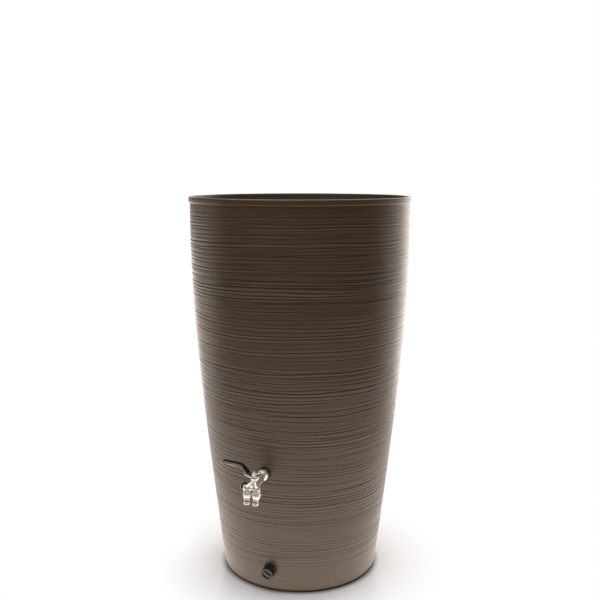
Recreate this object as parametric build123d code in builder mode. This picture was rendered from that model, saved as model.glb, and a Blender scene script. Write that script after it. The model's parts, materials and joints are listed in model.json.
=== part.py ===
from build123d import *

import os
from math import comb, cos, radians, sin

# Tapered rain barrel with a lift-out planter bowl, a double-outlet ball tap and a drain plug.
# Millimetres, +Z up. The origin is the centre of the flat base, and the tap faces -Y.

# Barrel shell
HEIGHT = 1060
PROFILE_RADII = (220, 260.4, 309.3, 303)  # control radii of the outer curve, evenly spaced in height
WALL = 5
FLOOR = 6
FOOT_ROUND = 12
RIM_OUTER = 307
RIM_HEIGHT = 14
RIM_ROUND = 3
LEDGE_TOP = 1036
LEDGE_INNER = 285
LEDGE_EDGE = 5
LEDGE_SLOPE = 14

# Flat seats moulded in the wall where a fitting goes through
SEAT_DEPTH = 0.9
SEAT_PAD = 7
SEAT_MARGIN = 2
HOLE_CLEARANCE = 0.4

# Planter bowl
BOWL_FLANGE = 296
BOWL_SHEET = 4
BOWL_TOP = 281
BOWL_BOTTOM = 258
BOWL_DEPTH = 176
BOWL_ROUND = 22
BOWL_LIP = 10
DRAIN_HOLE = 4
DRAIN_RINGS = ((90, 6), (180, 12))

# Tap: distances are measured out from its seat on the wall
TAP_HEIGHT = 347
TAP_THREAD = 13.2
TAP_BORE = 7
TAP_GASKET = 17
TAP_GASKET_THICK = 4
SHANK_INSIDE = 30
COLLAR_FLATS = 27
COLLAR_END = 12
NECK = 9.5
NECK_END = 40
WRENCH_FLATS = 24
WRENCH_END = 46
SPIGOT = 10.4
SPIGOT_END = 52
SPIGOT_BORE = 6
BALL_AT = 61
BALL = 9
BALL_BORE = 6
BALL_SLOT = 4
SEAT_RING = 3
CAVITY = 9.7
CAVITY_END = 70
HOUSING = 12.5
HOUSING_END = 72
HOUSING_CHAMFER = 1.2
BRANCH_AT = 78
BRANCH_DROP = 3
BRANCH_SPREAD = 12.2
BRANCH_BORE = 4.2
OUTLET_LEAN = 18
LOBE = 9.8
BRIDGE = 8.8

# Lever spindle: heights above the tap's centre line
BONNET_BOSS = 8.5
BONNET_TOP = 15.5
PACKING = 6
PACKING_FLOOR = 11.2
PACKING_THICK = 2.2
BONNET_FLATS = 21
BONNET_NUT_TOP = 19
STEM = 4
STEM_TOP = 31
STEM_CHAMFER = 0.6
LEVER_BASE = 22.5
LEVER_THICK = 2.5
LEVER_WIDTH = 14
LEVER_HEEL = 13
LEVER_PATH = ((-11, 0), (-33, 24), (-88, 28))
LEVER_BEND = 8
TONGUE_PATH = ((0, 0), (-11, 0), (-24, 6))
TONGUE_BEND = 12
TONGUE_WIDTH = 6
SLEEVE_START = -16
SLEEVE_THICK = 6.5
SLEEVE_WIDTH = 17
SLEEVE_OVERHANG = 3
SLEEVE_ROUND = 1.5
CAP_NUT_FLATS = 13
CAP_NUT_HEX = 5
CAP_NUT_CONE = 6.3
CAP_NUT_TIP = 6
CAP_NUT_TAPER = 35

# Side plug that shuts the left outlet: distances are to the left of the tap's middle
PLUG = 6
PLUG_INNER = 5
PLUG_OUTER = 22.6
PLUG_SPINDLE = 2.5
PLUG_SPINDLE_END = 28.8
SIDE_LEVER_START = 25
SIDE_LEVER_END = 31
SIDE_LEVER_HUB = 6
SIDE_LEVER_TIP = 4.5
SIDE_LEVER_REACH = 19
SIDE_LEVER_ROUND = 1.6
SIDE_SCREW = 1.5
SIDE_SCREW_HEAD = 3.2
SIDE_SCREW_END = 32.5
SCREW_SLOT = 0.9
SCREW_SLOT_DEPTH = 0.7

# Outlets, coupling nuts and hose tails: distances run down each outlet's axis
OUTLET_THREAD = 9.1
OUTLET_SHOULDER_END = 10
OUTLET_END = 19
NUT_START = 10.4
NUT_BODY = 10.8
NUT_LUG = 12.1
NUT_LUGS = 8
NUT_LUG_ROOT = 0.5
NUT_SCALLOP = 2.4
NUT_SCALLOP_AT = 12.9
NUT_LUG_END = 17.5
NUT_INNER = 9.3
NUT_HOLE = 7.8
NUT_SHOULDER = 22.6
NUT_END = 25.5
NUT_TIP = 9
TAIL_FLANGE_START = 20.5
TAIL_FLANGE_END = 22.5
TAIL = 7.7
TAIL_WAIST = 6.8
TAIL_WAIST_SPAN = (26, 28.5)
TAIL_WAIST_SLOPE = 0.5
TAIL_GROOVE = 6.2
TAIL_GROOVE_SPAN = (32, 34.6)
TAIL_END = 42
TAIL_BORE = 4.5

# Drain plug, measured out from its own seat
DRAIN_HEIGHT = 62
DRAIN_THREAD = 13
DRAIN_BORE = 9
DRAIN_GASKET_THICK = 2
DRAIN_FLANGE = 19
DRAIN_FLANGE_END = 6
DRAIN_FLANGE_ROUND = 1.5
DRAIN_NECK_END = 18
DRAIN_INSIDE = 24
CAP_RADIUS = 17
CAP_START = 7.5
CAP_END = 24
CAP_CEILING = 19.5
CAP_RIBS = 18
CAP_RIB_RADIUS = 1
CAP_POCKET = 12.5
CAP_POCKET_DEPTH = 3
CAP_BAR = 6
CAP_BAR_TURN = -35

# Nuts inside the barrel
BACKNUT_FLATS = 38
BACKNUT_THICK = 9
INNER_GASKET = 19
INNER_GASKET_THICK = 2.5

# Rubber inlet grommet for a diverter hose, at the back near the rim
INLET_HEIGHT = 955
INLET_BORE = 12.5
INLET_BORE_START = 6
INLET_PASSAGE = 11
INLET_STUB = 15.5
INLET_STUB_END = 20
INLET_NECK = 16
INLET_FLANGE = 21
INLET_LIP = 18.5
INLET_FLANGE_THICK = 3
INLET_LIP_THICK = 4

NUT_CHAMFER = 0.8
THREAD_LEAD = 1.5
THREAD_GAP = 0.2
TURNING_GAP = 0.1


def wall_radius(height):
    """Outer radius of the wall: a cubic Bezier in height."""
    t = height / HEIGHT
    return sum(comb(3, i) * t**i * (1 - t) ** (3 - i) * r for i, r in enumerate(PROFILE_RADII))


def wall_slope(height):
    step = 1.0
    return (wall_radius(height + step) - wall_radius(height - step)) / (2 * step)


def wall_seat(height, side):
    """Plane of a moulded seat: its Z axis points out of the wall and its Y axis up along it."""
    outward = Vector(0, side, -wall_slope(height)).normalized()
    surface = Vector(0, side * wall_radius(height), height)
    return Plane(origin=surface - outward * SEAT_DEPTH, x_dir=(-side, 0, 0), z_dir=outward)


def spindle_plane(seat, across, out):
    """Plane through the seat's (across, out) point whose Z axis points up along the wall."""
    origin = seat.from_local_coords((across, 0, out))
    return Plane(origin=origin, x_dir=seat.x_dir, z_dir=seat.y_dir)


def section_plane(axis_plane):
    """Half-section plane: X is the radius from axis_plane's Z axis and Y runs along that axis."""
    return Plane(origin=axis_plane.origin, x_dir=axis_plane.x_dir, z_dir=-axis_plane.y_dir)


def axis_of(plane):
    return Axis(plane.origin, plane.z_dir)


def save(part, name):
    part.label = name
    export_step(part, f"parts/{name}.step")


def curve_points(inset):
    """The wall's control points, moved inwards by inset."""
    last = len(PROFILE_RADII) - 1
    return [(r - inset, HEIGHT * i / last) for i, r in enumerate(PROFILE_RADII)]


def barrel_body(seats):
    """One moulded shell: floor, curved wall, rim bead, bowl ledge and the fitting seats."""
    with BuildPart() as shell:
        with BuildSketch(Plane.XZ):
            with BuildLine():
                Line((0, 0), (PROFILE_RADII[0], 0))
                Bezier(*curve_points(0))
                Line((PROFILE_RADII[-1], HEIGHT), (0, HEIGHT))
                Line((0, HEIGHT), (0, 0))
            make_face()
        revolve(axis=Axis.Z)
        foot = shell.edges().filter_by(GeomType.CIRCLE).group_by(Axis.Z)[0]
        fillet(foot, radius=FOOT_ROUND)
        with BuildSketch(Plane.XZ):
            with BuildLine():
                Bezier(*curve_points(WALL))
                Line((PROFILE_RADII[-1] - WALL, HEIGHT), (0, HEIGHT))
                Line((0, HEIGHT), (0, 0))
                Line((0, 0), (PROFILE_RADII[0] - WALL, 0))
            make_face()
            with Locations((0, FLOOR / 2)):
                Rectangle(2 * PROFILE_RADII[0], FLOOR, mode=Mode.SUBTRACT)
        revolve(axis=Axis.Z, mode=Mode.SUBTRACT)
        rim_inner = PROFILE_RADII[-1] - WALL
        with BuildSketch(Plane.XZ) as rim:
            with Locations(((rim_inner + RIM_OUTER) / 2, HEIGHT - RIM_HEIGHT / 2)):
                Rectangle(RIM_OUTER - rim_inner, RIM_HEIGHT)
            fillet(rim.vertices(), radius=RIM_ROUND)
        revolve(axis=Axis.Z)
        ledge_root = wall_radius(LEDGE_TOP) - WALL / 2
        with BuildSketch(Plane.XZ):
            with BuildLine():
                Polyline(
                    (ledge_root, LEDGE_TOP),
                    (LEDGE_INNER, LEDGE_TOP),
                    (LEDGE_INNER, LEDGE_TOP - LEDGE_EDGE),
                    (ledge_root, LEDGE_TOP - LEDGE_EDGE - LEDGE_SLOPE),
                    close=True,
                )
            make_face()
        revolve(axis=Axis.Z)
        for seat, flange, thread in seats:
            with BuildSketch(seat):
                Circle(flange + SEAT_MARGIN)
            extrude(amount=-SEAT_PAD)
            with BuildSketch(seat):
                Circle(flange + SEAT_MARGIN)
            extrude(amount=SEAT_PAD, mode=Mode.SUBTRACT)
            with BuildSketch(seat):
                Circle(thread + HOLE_CLEARANCE)
            extrude(amount=-2 * SEAT_PAD, both=True, mode=Mode.SUBTRACT)
    return shell.part


def planter_bowl():
    """Bowl that hangs by its flange on the barrel's ledge, with drain holes in its floor."""
    floor = LEDGE_TOP - BOWL_DEPTH
    with BuildPart() as bowl:
        with BuildSketch(Plane.XZ) as section:
            with BuildLine():
                Polyline(
                    (0, floor),
                    (BOWL_BOTTOM, floor),
                    (BOWL_TOP, LEDGE_TOP),
                    (0, LEDGE_TOP),
                    close=True,
                )
            make_face()
            corner = section.vertices().filter_by_position(Axis.X, BOWL_BOTTOM - 1, BOWL_BOTTOM + 1)
            fillet(corner, radius=BOWL_ROUND)
        revolve(axis=Axis.Z)
        offset(amount=-BOWL_SHEET, openings=bowl.faces().sort_by(Axis.Z)[-1])
        with BuildSketch(Plane.XY.offset(LEDGE_TOP)):
            Circle(BOWL_FLANGE)
            Circle(BOWL_TOP - BOWL_SHEET, mode=Mode.SUBTRACT)
        extrude(amount=BOWL_SHEET)
        with BuildSketch(Plane.XY.offset(LEDGE_TOP)):
            Circle(BOWL_FLANGE)
            Circle(BOWL_FLANGE - BOWL_SHEET, mode=Mode.SUBTRACT)
        extrude(amount=BOWL_LIP)
        with BuildSketch(Plane.XY.offset(floor)):
            Circle(DRAIN_HOLE)
            for radius, count in DRAIN_RINGS:
                with PolarLocations(radius, count):
                    Circle(DRAIN_HOLE)
        extrude(amount=2 * BOWL_SHEET, both=True, mode=Mode.SUBTRACT)
    return bowl.part


def ring(plane, start, end, outer, inner):
    """Plain ring on plane's Z axis, from start to end."""
    with BuildPart() as made:
        with BuildSketch(plane.offset(start)):
            Circle(outer)
            Circle(inner, mode=Mode.SUBTRACT)
        extrude(amount=end - start)
    return made.part


def hex_nut(plane, start, end, flats, inner):
    """Chamfered hexagon nut on plane's Z axis, from start to end."""
    with BuildPart() as nut:
        with BuildSketch(plane.offset(start)):
            RegularPolygon(flats / 2, 6, major_radius=False)
            Circle(inner, mode=Mode.SUBTRACT)
        extrude(amount=end - start)
        ends = nut.faces().filter_by(Plane(plane.origin, z_dir=plane.z_dir))
        chamfer(ends.edges().filter_by(GeomType.LINE), NUT_CHAMFER)
    return nut.part


def bridge_plane(seat, side):
    """Plane on the tap's middle whose Z axis runs to one side along the bridge between the outlets."""
    origin = seat.from_local_coords((0, -BRANCH_DROP, BRANCH_AT))
    return Plane(origin=origin, x_dir=seat.y_dir, z_dir=seat.x_dir * side)


def outlet_plane(seat, side):
    """Plane at an outlet's lobe whose Z axis points back up the outlet's leaning axis."""
    origin = seat.from_local_coords((side * BRANCH_SPREAD, -BRANCH_DROP, BRANCH_AT))
    up = seat.y_dir * cos(radians(OUTLET_LEAN)) - seat.z_dir * sin(radians(OUTLET_LEAN))
    return Plane(origin=origin, x_dir=seat.x_dir, z_dir=up)


def tap_inlet(seat):
    """Threaded shank, collar, neck and the spigot that closes the ball housing."""
    with BuildPart() as inlet:
        with BuildSketch(section_plane(seat)):
            with BuildLine():
                Polyline(
                    (0, -SHANK_INSIDE),
                    (TAP_THREAD - THREAD_LEAD, -SHANK_INSIDE),
                    (TAP_THREAD, -SHANK_INSIDE + THREAD_LEAD),
                    (TAP_THREAD, COLLAR_END),
                    (NECK, COLLAR_END + 3),
                    (NECK, NECK_END - 2),
                    (SPIGOT, NECK_END),
                    (SPIGOT, SPIGOT_END),
                    (0, SPIGOT_END),
                    close=True,
                )
            make_face()
        revolve(axis=axis_of(seat))
        for start, end, flats in (
            (TAP_GASKET_THICK, COLLAR_END, COLLAR_FLATS),
            (NECK_END, WRENCH_END, WRENCH_FLATS),
        ):
            with BuildSketch(seat.offset(start)):
                RegularPolygon(flats / 2, 6, major_radius=False)
            extrude(amount=end - start)
        with BuildSketch(seat.offset(-SHANK_INSIDE)):
            Circle(TAP_BORE)
        extrude(amount=SHANK_INSIDE + NECK_END, mode=Mode.SUBTRACT)
        with BuildSketch(seat.offset(NECK_END)):
            Circle(SPIGOT_BORE)
        extrude(amount=SPIGOT_END - NECK_END, mode=Mode.SUBTRACT)
    return inlet.part


def tap_manifold(seat):
    """Ball housing, spindle boss and the bridge that feeds two leaning outlets."""
    centre = spindle_plane(seat, 0, BALL_AT)
    left = bridge_plane(seat, -1)
    with BuildPart() as body:
        with BuildSketch(seat.offset(WRENCH_END)):
            Circle(HOUSING)
        extrude(amount=HOUSING_END - WRENCH_END)
        chamfer(body.edges().filter_by(GeomType.CIRCLE), HOUSING_CHAMFER)
        with BuildSketch(centre):
            Circle(BONNET_BOSS)
        extrude(amount=BONNET_TOP)
        with Locations(left.origin):
            Sphere(BRIDGE)
        with BuildSketch(left):
            Circle(BRIDGE)
        extrude(amount=BRANCH_SPREAD, both=True)
        with BuildSketch(left.offset(BRANCH_SPREAD)):
            Circle(PLUG + 2)
        extrude(amount=PLUG_OUTER - BRANCH_SPREAD)
        for side in (-1, 1):
            outlet = outlet_plane(seat, side)
            with Locations(outlet.origin):
                Sphere(LOBE)
            with BuildSketch(outlet):
                Circle(LOBE)
            extrude(amount=-OUTLET_SHOULDER_END)
            with BuildSketch(outlet):
                Circle(OUTLET_THREAD)
            extrude(amount=-OUTLET_END)
        with BuildSketch(seat.offset(WRENCH_END - 1)):
            Circle(SPIGOT + THREAD_GAP)
        extrude(amount=SPIGOT_END + 1 - WRENCH_END, mode=Mode.SUBTRACT)
        with BuildSketch(seat.offset(SPIGOT_END)):
            Circle(CAVITY)
        extrude(amount=CAVITY_END - SPIGOT_END, mode=Mode.SUBTRACT)
        with BuildSketch(seat.offset(CAVITY_END)):
            with Locations((0, BRANCH_BORE - BALL_BORE)):
                Circle(BRANCH_BORE)
        extrude(amount=BRANCH_AT - CAVITY_END, mode=Mode.SUBTRACT)
        with BuildSketch(left):
            Circle(BRANCH_BORE)
        extrude(amount=BRANCH_SPREAD, both=True, mode=Mode.SUBTRACT)
        for side in (-1, 1):
            with BuildSketch(outlet_plane(seat, side)):
                Circle(BRANCH_BORE)
            extrude(amount=-OUTLET_END, mode=Mode.SUBTRACT)
        with BuildSketch(left.offset(PLUG_INNER)):
            Circle(PLUG + TURNING_GAP)
        extrude(amount=PLUG_OUTER - PLUG_INNER, mode=Mode.SUBTRACT)
        with BuildSketch(centre):
            Circle(STEM + TURNING_GAP)
        extrude(amount=BONNET_TOP, mode=Mode.SUBTRACT)
        with BuildSketch(centre.offset(PACKING_FLOOR)):
            Circle(PACKING)
        extrude(amount=BONNET_TOP - PACKING_FLOOR, mode=Mode.SUBTRACT)
    return body.part


def ball_seats(seat):
    """Two rings that hold the ball, each dished to its surface."""
    with BuildPart() as rings:
        for start in (SPIGOT_END, CAVITY_END - SEAT_RING):
            with BuildSketch(seat.offset(start)):
                Circle(CAVITY - TURNING_GAP)
                Circle(BALL_BORE, mode=Mode.SUBTRACT)
            extrude(amount=SEAT_RING)
        with Locations(seat.from_local_coords((0, 0, BALL_AT))):
            Sphere(BALL + TURNING_GAP, mode=Mode.SUBTRACT)
    return rings.part


def main_ball(seat):
    """Ball with its bore across the flow, as it lies when the valve is shut."""
    centre = spindle_plane(seat, 0, BALL_AT)
    with BuildPart() as ball:
        with Locations(centre.origin):
            Sphere(BALL)
        with BuildSketch(Plane(origin=centre.origin, x_dir=seat.y_dir, z_dir=seat.x_dir)):
            Circle(BALL_BORE)
        extrude(amount=BALL, both=True, mode=Mode.SUBTRACT)
        with BuildSketch(centre.offset(BALL - 2)):
            Rectangle(2 * BALL, BALL_SLOT)
        extrude(amount=BALL, mode=Mode.SUBTRACT)
    return ball.part


def main_stem(seat):
    """Spindle with a tang in the ball's slot and a threaded top for the cap nut."""
    centre = spindle_plane(seat, 0, BALL_AT)
    with BuildPart() as stem:
        with BuildSketch(centre.offset(BALL - 2)):
            Circle(STEM)
        extrude(amount=STEM_TOP - BALL + 2)
        chamfer(stem.faces().sort_by(Axis.Z)[-1].edges(), STEM_CHAMFER)
        with BuildSketch(centre.offset(BALL - 2)):
            Circle(STEM)
            Rectangle(2 * STEM, BALL_SLOT - TURNING_GAP, mode=Mode.SUBTRACT)
        extrude(amount=2, mode=Mode.SUBTRACT)
    return stem.part


def bonnet_nut(seat):
    """Gland nut: its plug presses the packing, its hexagon stands on the boss."""
    centre = spindle_plane(seat, 0, BALL_AT)
    with BuildPart() as nut:
        with BuildSketch(centre.offset(BONNET_TOP)):
            RegularPolygon(BONNET_FLATS / 2, 6, major_radius=False)
        extrude(amount=BONNET_NUT_TOP - BONNET_TOP)
        with BuildSketch(centre.offset(PACKING_FLOOR + PACKING_THICK)):
            Circle(PACKING - THREAD_GAP)
        extrude(amount=BONNET_TOP - PACKING_FLOOR - PACKING_THICK)
        with BuildSketch(centre.offset(PACKING_FLOOR)):
            Circle(STEM + TURNING_GAP)
        extrude(amount=BONNET_NUT_TOP - PACKING_FLOOR, mode=Mode.SUBTRACT)
    return nut.part


def lever_plane(seat, out=0):
    """Plane of the lever's side view: X across the tap, Y up from the lever's base."""
    base = spindle_plane(seat, 0, BALL_AT + out).offset(LEVER_BASE)
    return Plane(origin=base.origin, x_dir=seat.x_dir, z_dir=seat.z_dir)


def strip_points(path):
    """The middle line of a strip whose underside follows path."""
    return [(x, y + LEVER_THICK / 2) for x, y in path]


def main_lever(seat):
    """Bent steel strip on the spindle, with a short tongue beside its bend."""
    with BuildPart() as lever:
        with BuildSketch(lever_plane(seat)):
            with BuildLine() as path:
                FilletPolyline(*strip_points(((LEVER_HEEL, 0),) + LEVER_PATH), radius=LEVER_BEND)
            trace(path.edges(), line_width=LEVER_THICK)
        extrude(amount=LEVER_WIDTH / 2, both=True)
        upright = lever.edges().filter_by(Axis(seat.origin, seat.y_dir))
        fillet(upright.sort_by(Axis.X)[-2:], radius=LEVER_WIDTH / 2 - 1)
        with BuildSketch(lever_plane(seat, LEVER_WIDTH / 2)):
            with BuildLine() as tongue:
                FilletPolyline(*strip_points(TONGUE_PATH), radius=TONGUE_BEND)
            trace(tongue.edges(), line_width=LEVER_THICK)
        extrude(amount=TONGUE_WIDTH / 2, both=True)
        with BuildSketch(spindle_plane(seat, 0, BALL_AT).offset(LEVER_BASE - 1)):
            Circle(STEM + TURNING_GAP)
        extrude(amount=LEVER_THICK + 2, mode=Mode.SUBTRACT)
    return lever.part


def lever_sleeve(seat, lever):
    """Soft grip pushed over the strip, closed at its end."""
    (x0, y0), (x1, y1), (x2, y2) = LEVER_PATH
    start = (SLEEVE_START, y0 + (y1 - y0) * (SLEEVE_START - x0) / (x1 - x0))
    tip = (x2 - SLEEVE_OVERHANG, y2 + SLEEVE_OVERHANG * (y2 - y1) / (x1 - x2))
    with BuildPart() as sleeve:
        with BuildSketch(lever_plane(seat)):
            with BuildLine() as path:
                FilletPolyline(*strip_points((start, (x1, y1), tip)), radius=LEVER_BEND)
            trace(path.edges(), line_width=SLEEVE_THICK)
        extrude(amount=SLEEVE_WIDTH / 2, both=True)
        end = sleeve.faces().sort_by(Axis.X)[0]
        upright = end.edges().filter_by(lambda e: e.length < SLEEVE_THICK + 1)
        fillet(upright, radius=SLEEVE_WIDTH / 2 - SLEEVE_ROUND)
        long_edges = sleeve.edges().filter_by(lambda e: e.length > 1.25 * SLEEVE_WIDTH)
        fillet(long_edges, radius=SLEEVE_ROUND)
        add(lever, mode=Mode.SUBTRACT)
    return sleeve.part


def lever_nut(seat):
    """Cap nut with a conical tip that holds the lever down."""
    centre = spindle_plane(seat, 0, BALL_AT)
    base = LEVER_BASE + LEVER_THICK
    with BuildPart() as nut:
        with BuildSketch(centre.offset(base)):
            RegularPolygon(CAP_NUT_FLATS / 2, 6, major_radius=False)
        extrude(amount=CAP_NUT_HEX)
        with BuildSketch(centre.offset(base + CAP_NUT_HEX)):
            Circle(CAP_NUT_CONE)
        extrude(amount=CAP_NUT_TIP, taper=CAP_NUT_TAPER)
        with BuildSketch(centre.offset(base)):
            Circle(STEM + THREAD_GAP)
        extrude(amount=STEM_TOP - base, mode=Mode.SUBTRACT)
    return nut.part


def side_plug(seat):
    """Angle plug: open at its inner end, with a port that faces the wall when it is shut."""
    left = bridge_plane(seat, -1)
    outlet = outlet_plane(seat, -1)
    port = Plane(origin=outlet.origin, x_dir=seat.x_dir, z_dir=outlet.y_dir)
    with BuildPart() as plug:
        with BuildSketch(left.offset(PLUG_INNER)):
            Circle(PLUG)
        extrude(amount=PLUG_OUTER - PLUG_INNER)
        with BuildSketch(left.offset(PLUG_OUTER)):
            Circle(PLUG_SPINDLE)
        extrude(amount=PLUG_SPINDLE_END - PLUG_OUTER)
        with BuildSketch(left.offset(PLUG_INNER)):
            Circle(BRANCH_BORE)
        extrude(amount=BRANCH_SPREAD - PLUG_INNER + BRANCH_BORE, mode=Mode.SUBTRACT)
        with BuildSketch(port):
            Circle(BRANCH_BORE)
        extrude(amount=2 * PLUG, mode=Mode.SUBTRACT)
    return plug.part


def side_lever(seat):
    """Small tapered lever on the side plug, pointing to the wall when shut."""
    left = bridge_plane(seat, -1)
    start = left.offset(SIDE_LEVER_START)
    back = Plane(origin=start.origin, x_dir=-seat.z_dir, z_dir=start.z_dir)
    with BuildPart() as lever:
        with BuildSketch(back) as outline:
            Circle(SIDE_LEVER_HUB)
            with Locations((SIDE_LEVER_REACH, 0)):
                Circle(SIDE_LEVER_TIP)
            make_hull()
        extrude(amount=SIDE_LEVER_END - SIDE_LEVER_START)
        fillet(lever.faces().sort_by(Axis.X)[0].edges(), radius=SIDE_LEVER_ROUND)
        with BuildSketch(start):
            Circle(PLUG_SPINDLE)
        extrude(amount=PLUG_SPINDLE_END - SIDE_LEVER_START, mode=Mode.SUBTRACT)
        with BuildSketch(left.offset(PLUG_SPINDLE_END)):
            Circle(SIDE_SCREW)
        extrude(amount=SIDE_LEVER_END - PLUG_SPINDLE_END, mode=Mode.SUBTRACT)
    return lever.part


def side_lever_screw(seat):
    left = bridge_plane(seat, -1)
    with BuildPart() as screw:
        with BuildSketch(left.offset(PLUG_SPINDLE_END)):
            Circle(SIDE_SCREW)
        extrude(amount=SIDE_LEVER_END - PLUG_SPINDLE_END)
        with BuildSketch(left.offset(SIDE_LEVER_END)):
            Circle(SIDE_SCREW_HEAD)
        extrude(amount=SIDE_SCREW_END - SIDE_LEVER_END)
        with BuildSketch(left.offset(SIDE_SCREW_END)):
            Rectangle(2 * SIDE_SCREW_HEAD, SCREW_SLOT)
            Rectangle(SCREW_SLOT, 2 * SIDE_SCREW_HEAD)
        extrude(amount=-SCREW_SLOT_DEPTH, mode=Mode.SUBTRACT)
    return screw.part


def coupling_nut(outlet):
    """Lugged nut that turns on the outlet's thread and holds the tail by its shoulder."""
    with BuildPart() as nut:
        with BuildSketch(section_plane(outlet)):
            with BuildLine():
                Polyline(
                    (NUT_INNER, -NUT_START),
                    (NUT_BODY, -NUT_START),
                    (NUT_BODY, -NUT_LUG_END),
                    (NUT_TIP, -NUT_END),
                    (NUT_HOLE, -NUT_END),
                    (NUT_HOLE, -NUT_SHOULDER),
                    (NUT_INNER, -NUT_SHOULDER),
                    close=True,
                )
            make_face()
        revolve(axis=axis_of(outlet))
        with BuildSketch(outlet.offset(-NUT_START)):
            Circle(NUT_LUG)
            Circle(NUT_BODY - NUT_LUG_ROOT, mode=Mode.SUBTRACT)
            with PolarLocations(NUT_SCALLOP_AT, NUT_LUGS):
                Circle(NUT_SCALLOP, mode=Mode.SUBTRACT)
        extrude(amount=NUT_START - NUT_LUG_END)
    return nut.part


def hose_tail(outlet):
    """Grooved tail with the flange that the coupling nut holds."""
    waist_start, waist_end = TAIL_WAIST_SPAN
    groove_start, groove_end = TAIL_GROOVE_SPAN
    with BuildPart() as tail:
        with BuildSketch(section_plane(outlet)):
            with BuildLine():
                Polyline(
                    (TAIL_BORE, -TAIL_FLANGE_START),
                    (OUTLET_THREAD, -TAIL_FLANGE_START),
                    (OUTLET_THREAD, -TAIL_FLANGE_END),
                    (TAIL, -TAIL_FLANGE_END),
                    (TAIL, -waist_start),
                    (TAIL_WAIST, -waist_start - TAIL_WAIST_SLOPE),
                    (TAIL_WAIST, -waist_end + TAIL_WAIST_SLOPE),
                    (TAIL, -waist_end),
                    (TAIL, -groove_start),
                    (TAIL_GROOVE, -groove_start),
                    (TAIL_GROOVE, -groove_end),
                    (TAIL, -groove_end),
                    (TAIL, -TAIL_END + 1),
                    (TAIL - 1, -TAIL_END),
                    (TAIL_BORE, -TAIL_END),
                    close=True,
                )
            make_face()
        revolve(axis=axis_of(outlet))
    return tail.part


def tail_ring(outlet):
    """O-ring in the tail's groove."""
    groove_start, groove_end = TAIL_GROOVE_SPAN
    thick = TAIL - TAIL_GROOVE
    with BuildPart() as o_ring:
        with BuildSketch(section_plane(outlet)):
            with Locations((TAIL_GROOVE + thick / 2, -(groove_start + groove_end) / 2)):
                Circle(thick / 2)
        revolve(axis=axis_of(outlet))
    return o_ring.part


def drain_spigot(seat):
    """Bulkhead fitting: flange outside, thread through the wall, open bore."""
    with BuildPart() as spigot:
        with BuildSketch(seat.offset(-DRAIN_INSIDE)):
            Circle(DRAIN_THREAD)
        extrude(amount=DRAIN_INSIDE + DRAIN_NECK_END)
        with BuildSketch(seat.offset(DRAIN_GASKET_THICK)):
            Circle(DRAIN_FLANGE)
        extrude(amount=DRAIN_FLANGE_END - DRAIN_GASKET_THICK)
        circles = spigot.edges().filter_by(GeomType.CIRCLE)
        outer = circles.filter_by(lambda e: e.radius > DRAIN_FLANGE - 1)
        fillet(outer.sort_by(axis_of(seat))[-1], radius=DRAIN_FLANGE_ROUND)
        with BuildSketch(seat.offset(-DRAIN_INSIDE)):
            Circle(DRAIN_BORE)
        extrude(amount=DRAIN_INSIDE + DRAIN_NECK_END, mode=Mode.SUBTRACT)
    return spigot.part


def drain_cap(seat):
    """Ribbed screw cap with two pockets that leave a grip bar across its face."""
    with BuildPart() as cap:
        with BuildSketch(seat.offset(CAP_START)):
            Circle(CAP_RADIUS)
            with PolarLocations(CAP_RADIUS, CAP_RIBS):
                Circle(CAP_RIB_RADIUS, mode=Mode.SUBTRACT)
        extrude(amount=CAP_END - CAP_START)
        with BuildSketch(seat.offset(CAP_END)):
            Circle(CAP_POCKET)
            Rectangle(2 * CAP_POCKET, CAP_BAR, rotation=CAP_BAR_TURN, mode=Mode.SUBTRACT)
        extrude(amount=-CAP_POCKET_DEPTH, mode=Mode.SUBTRACT)
        with BuildSketch(seat.offset(CAP_START)):
            Circle(DRAIN_THREAD + THREAD_GAP)
        extrude(amount=CAP_CEILING - CAP_START, mode=Mode.SUBTRACT)
    return cap.part


def inlet_grommet(seat):
    """Rubber bush that grips the wall between a flange and a lip, with a socket for a hose outside."""
    with BuildPart() as grommet:
        with BuildSketch(section_plane(seat)):
            with BuildLine():
                Polyline(
                    (INLET_PASSAGE, INLET_BORE_START),
                    (INLET_BORE, INLET_BORE_START),
                    (INLET_BORE, INLET_STUB_END),
                    (INLET_STUB - 1, INLET_STUB_END),
                    (INLET_STUB, INLET_STUB_END - 1),
                    (INLET_STUB, INLET_FLANGE_THICK),
                    (INLET_FLANGE - 1, INLET_FLANGE_THICK),
                    (INLET_FLANGE, INLET_FLANGE_THICK - 1),
                    (INLET_FLANGE, 0),
                    (INLET_NECK, 0),
                    (INLET_NECK, -SEAT_PAD),
                    (INLET_LIP, -SEAT_PAD),
                    (INLET_NECK, -SEAT_PAD - INLET_LIP_THICK),
                    (INLET_PASSAGE, -SEAT_PAD - INLET_LIP_THICK),
                    close=True,
                )
            make_face()
        revolve(axis=axis_of(seat))
    return grommet.part


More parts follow.
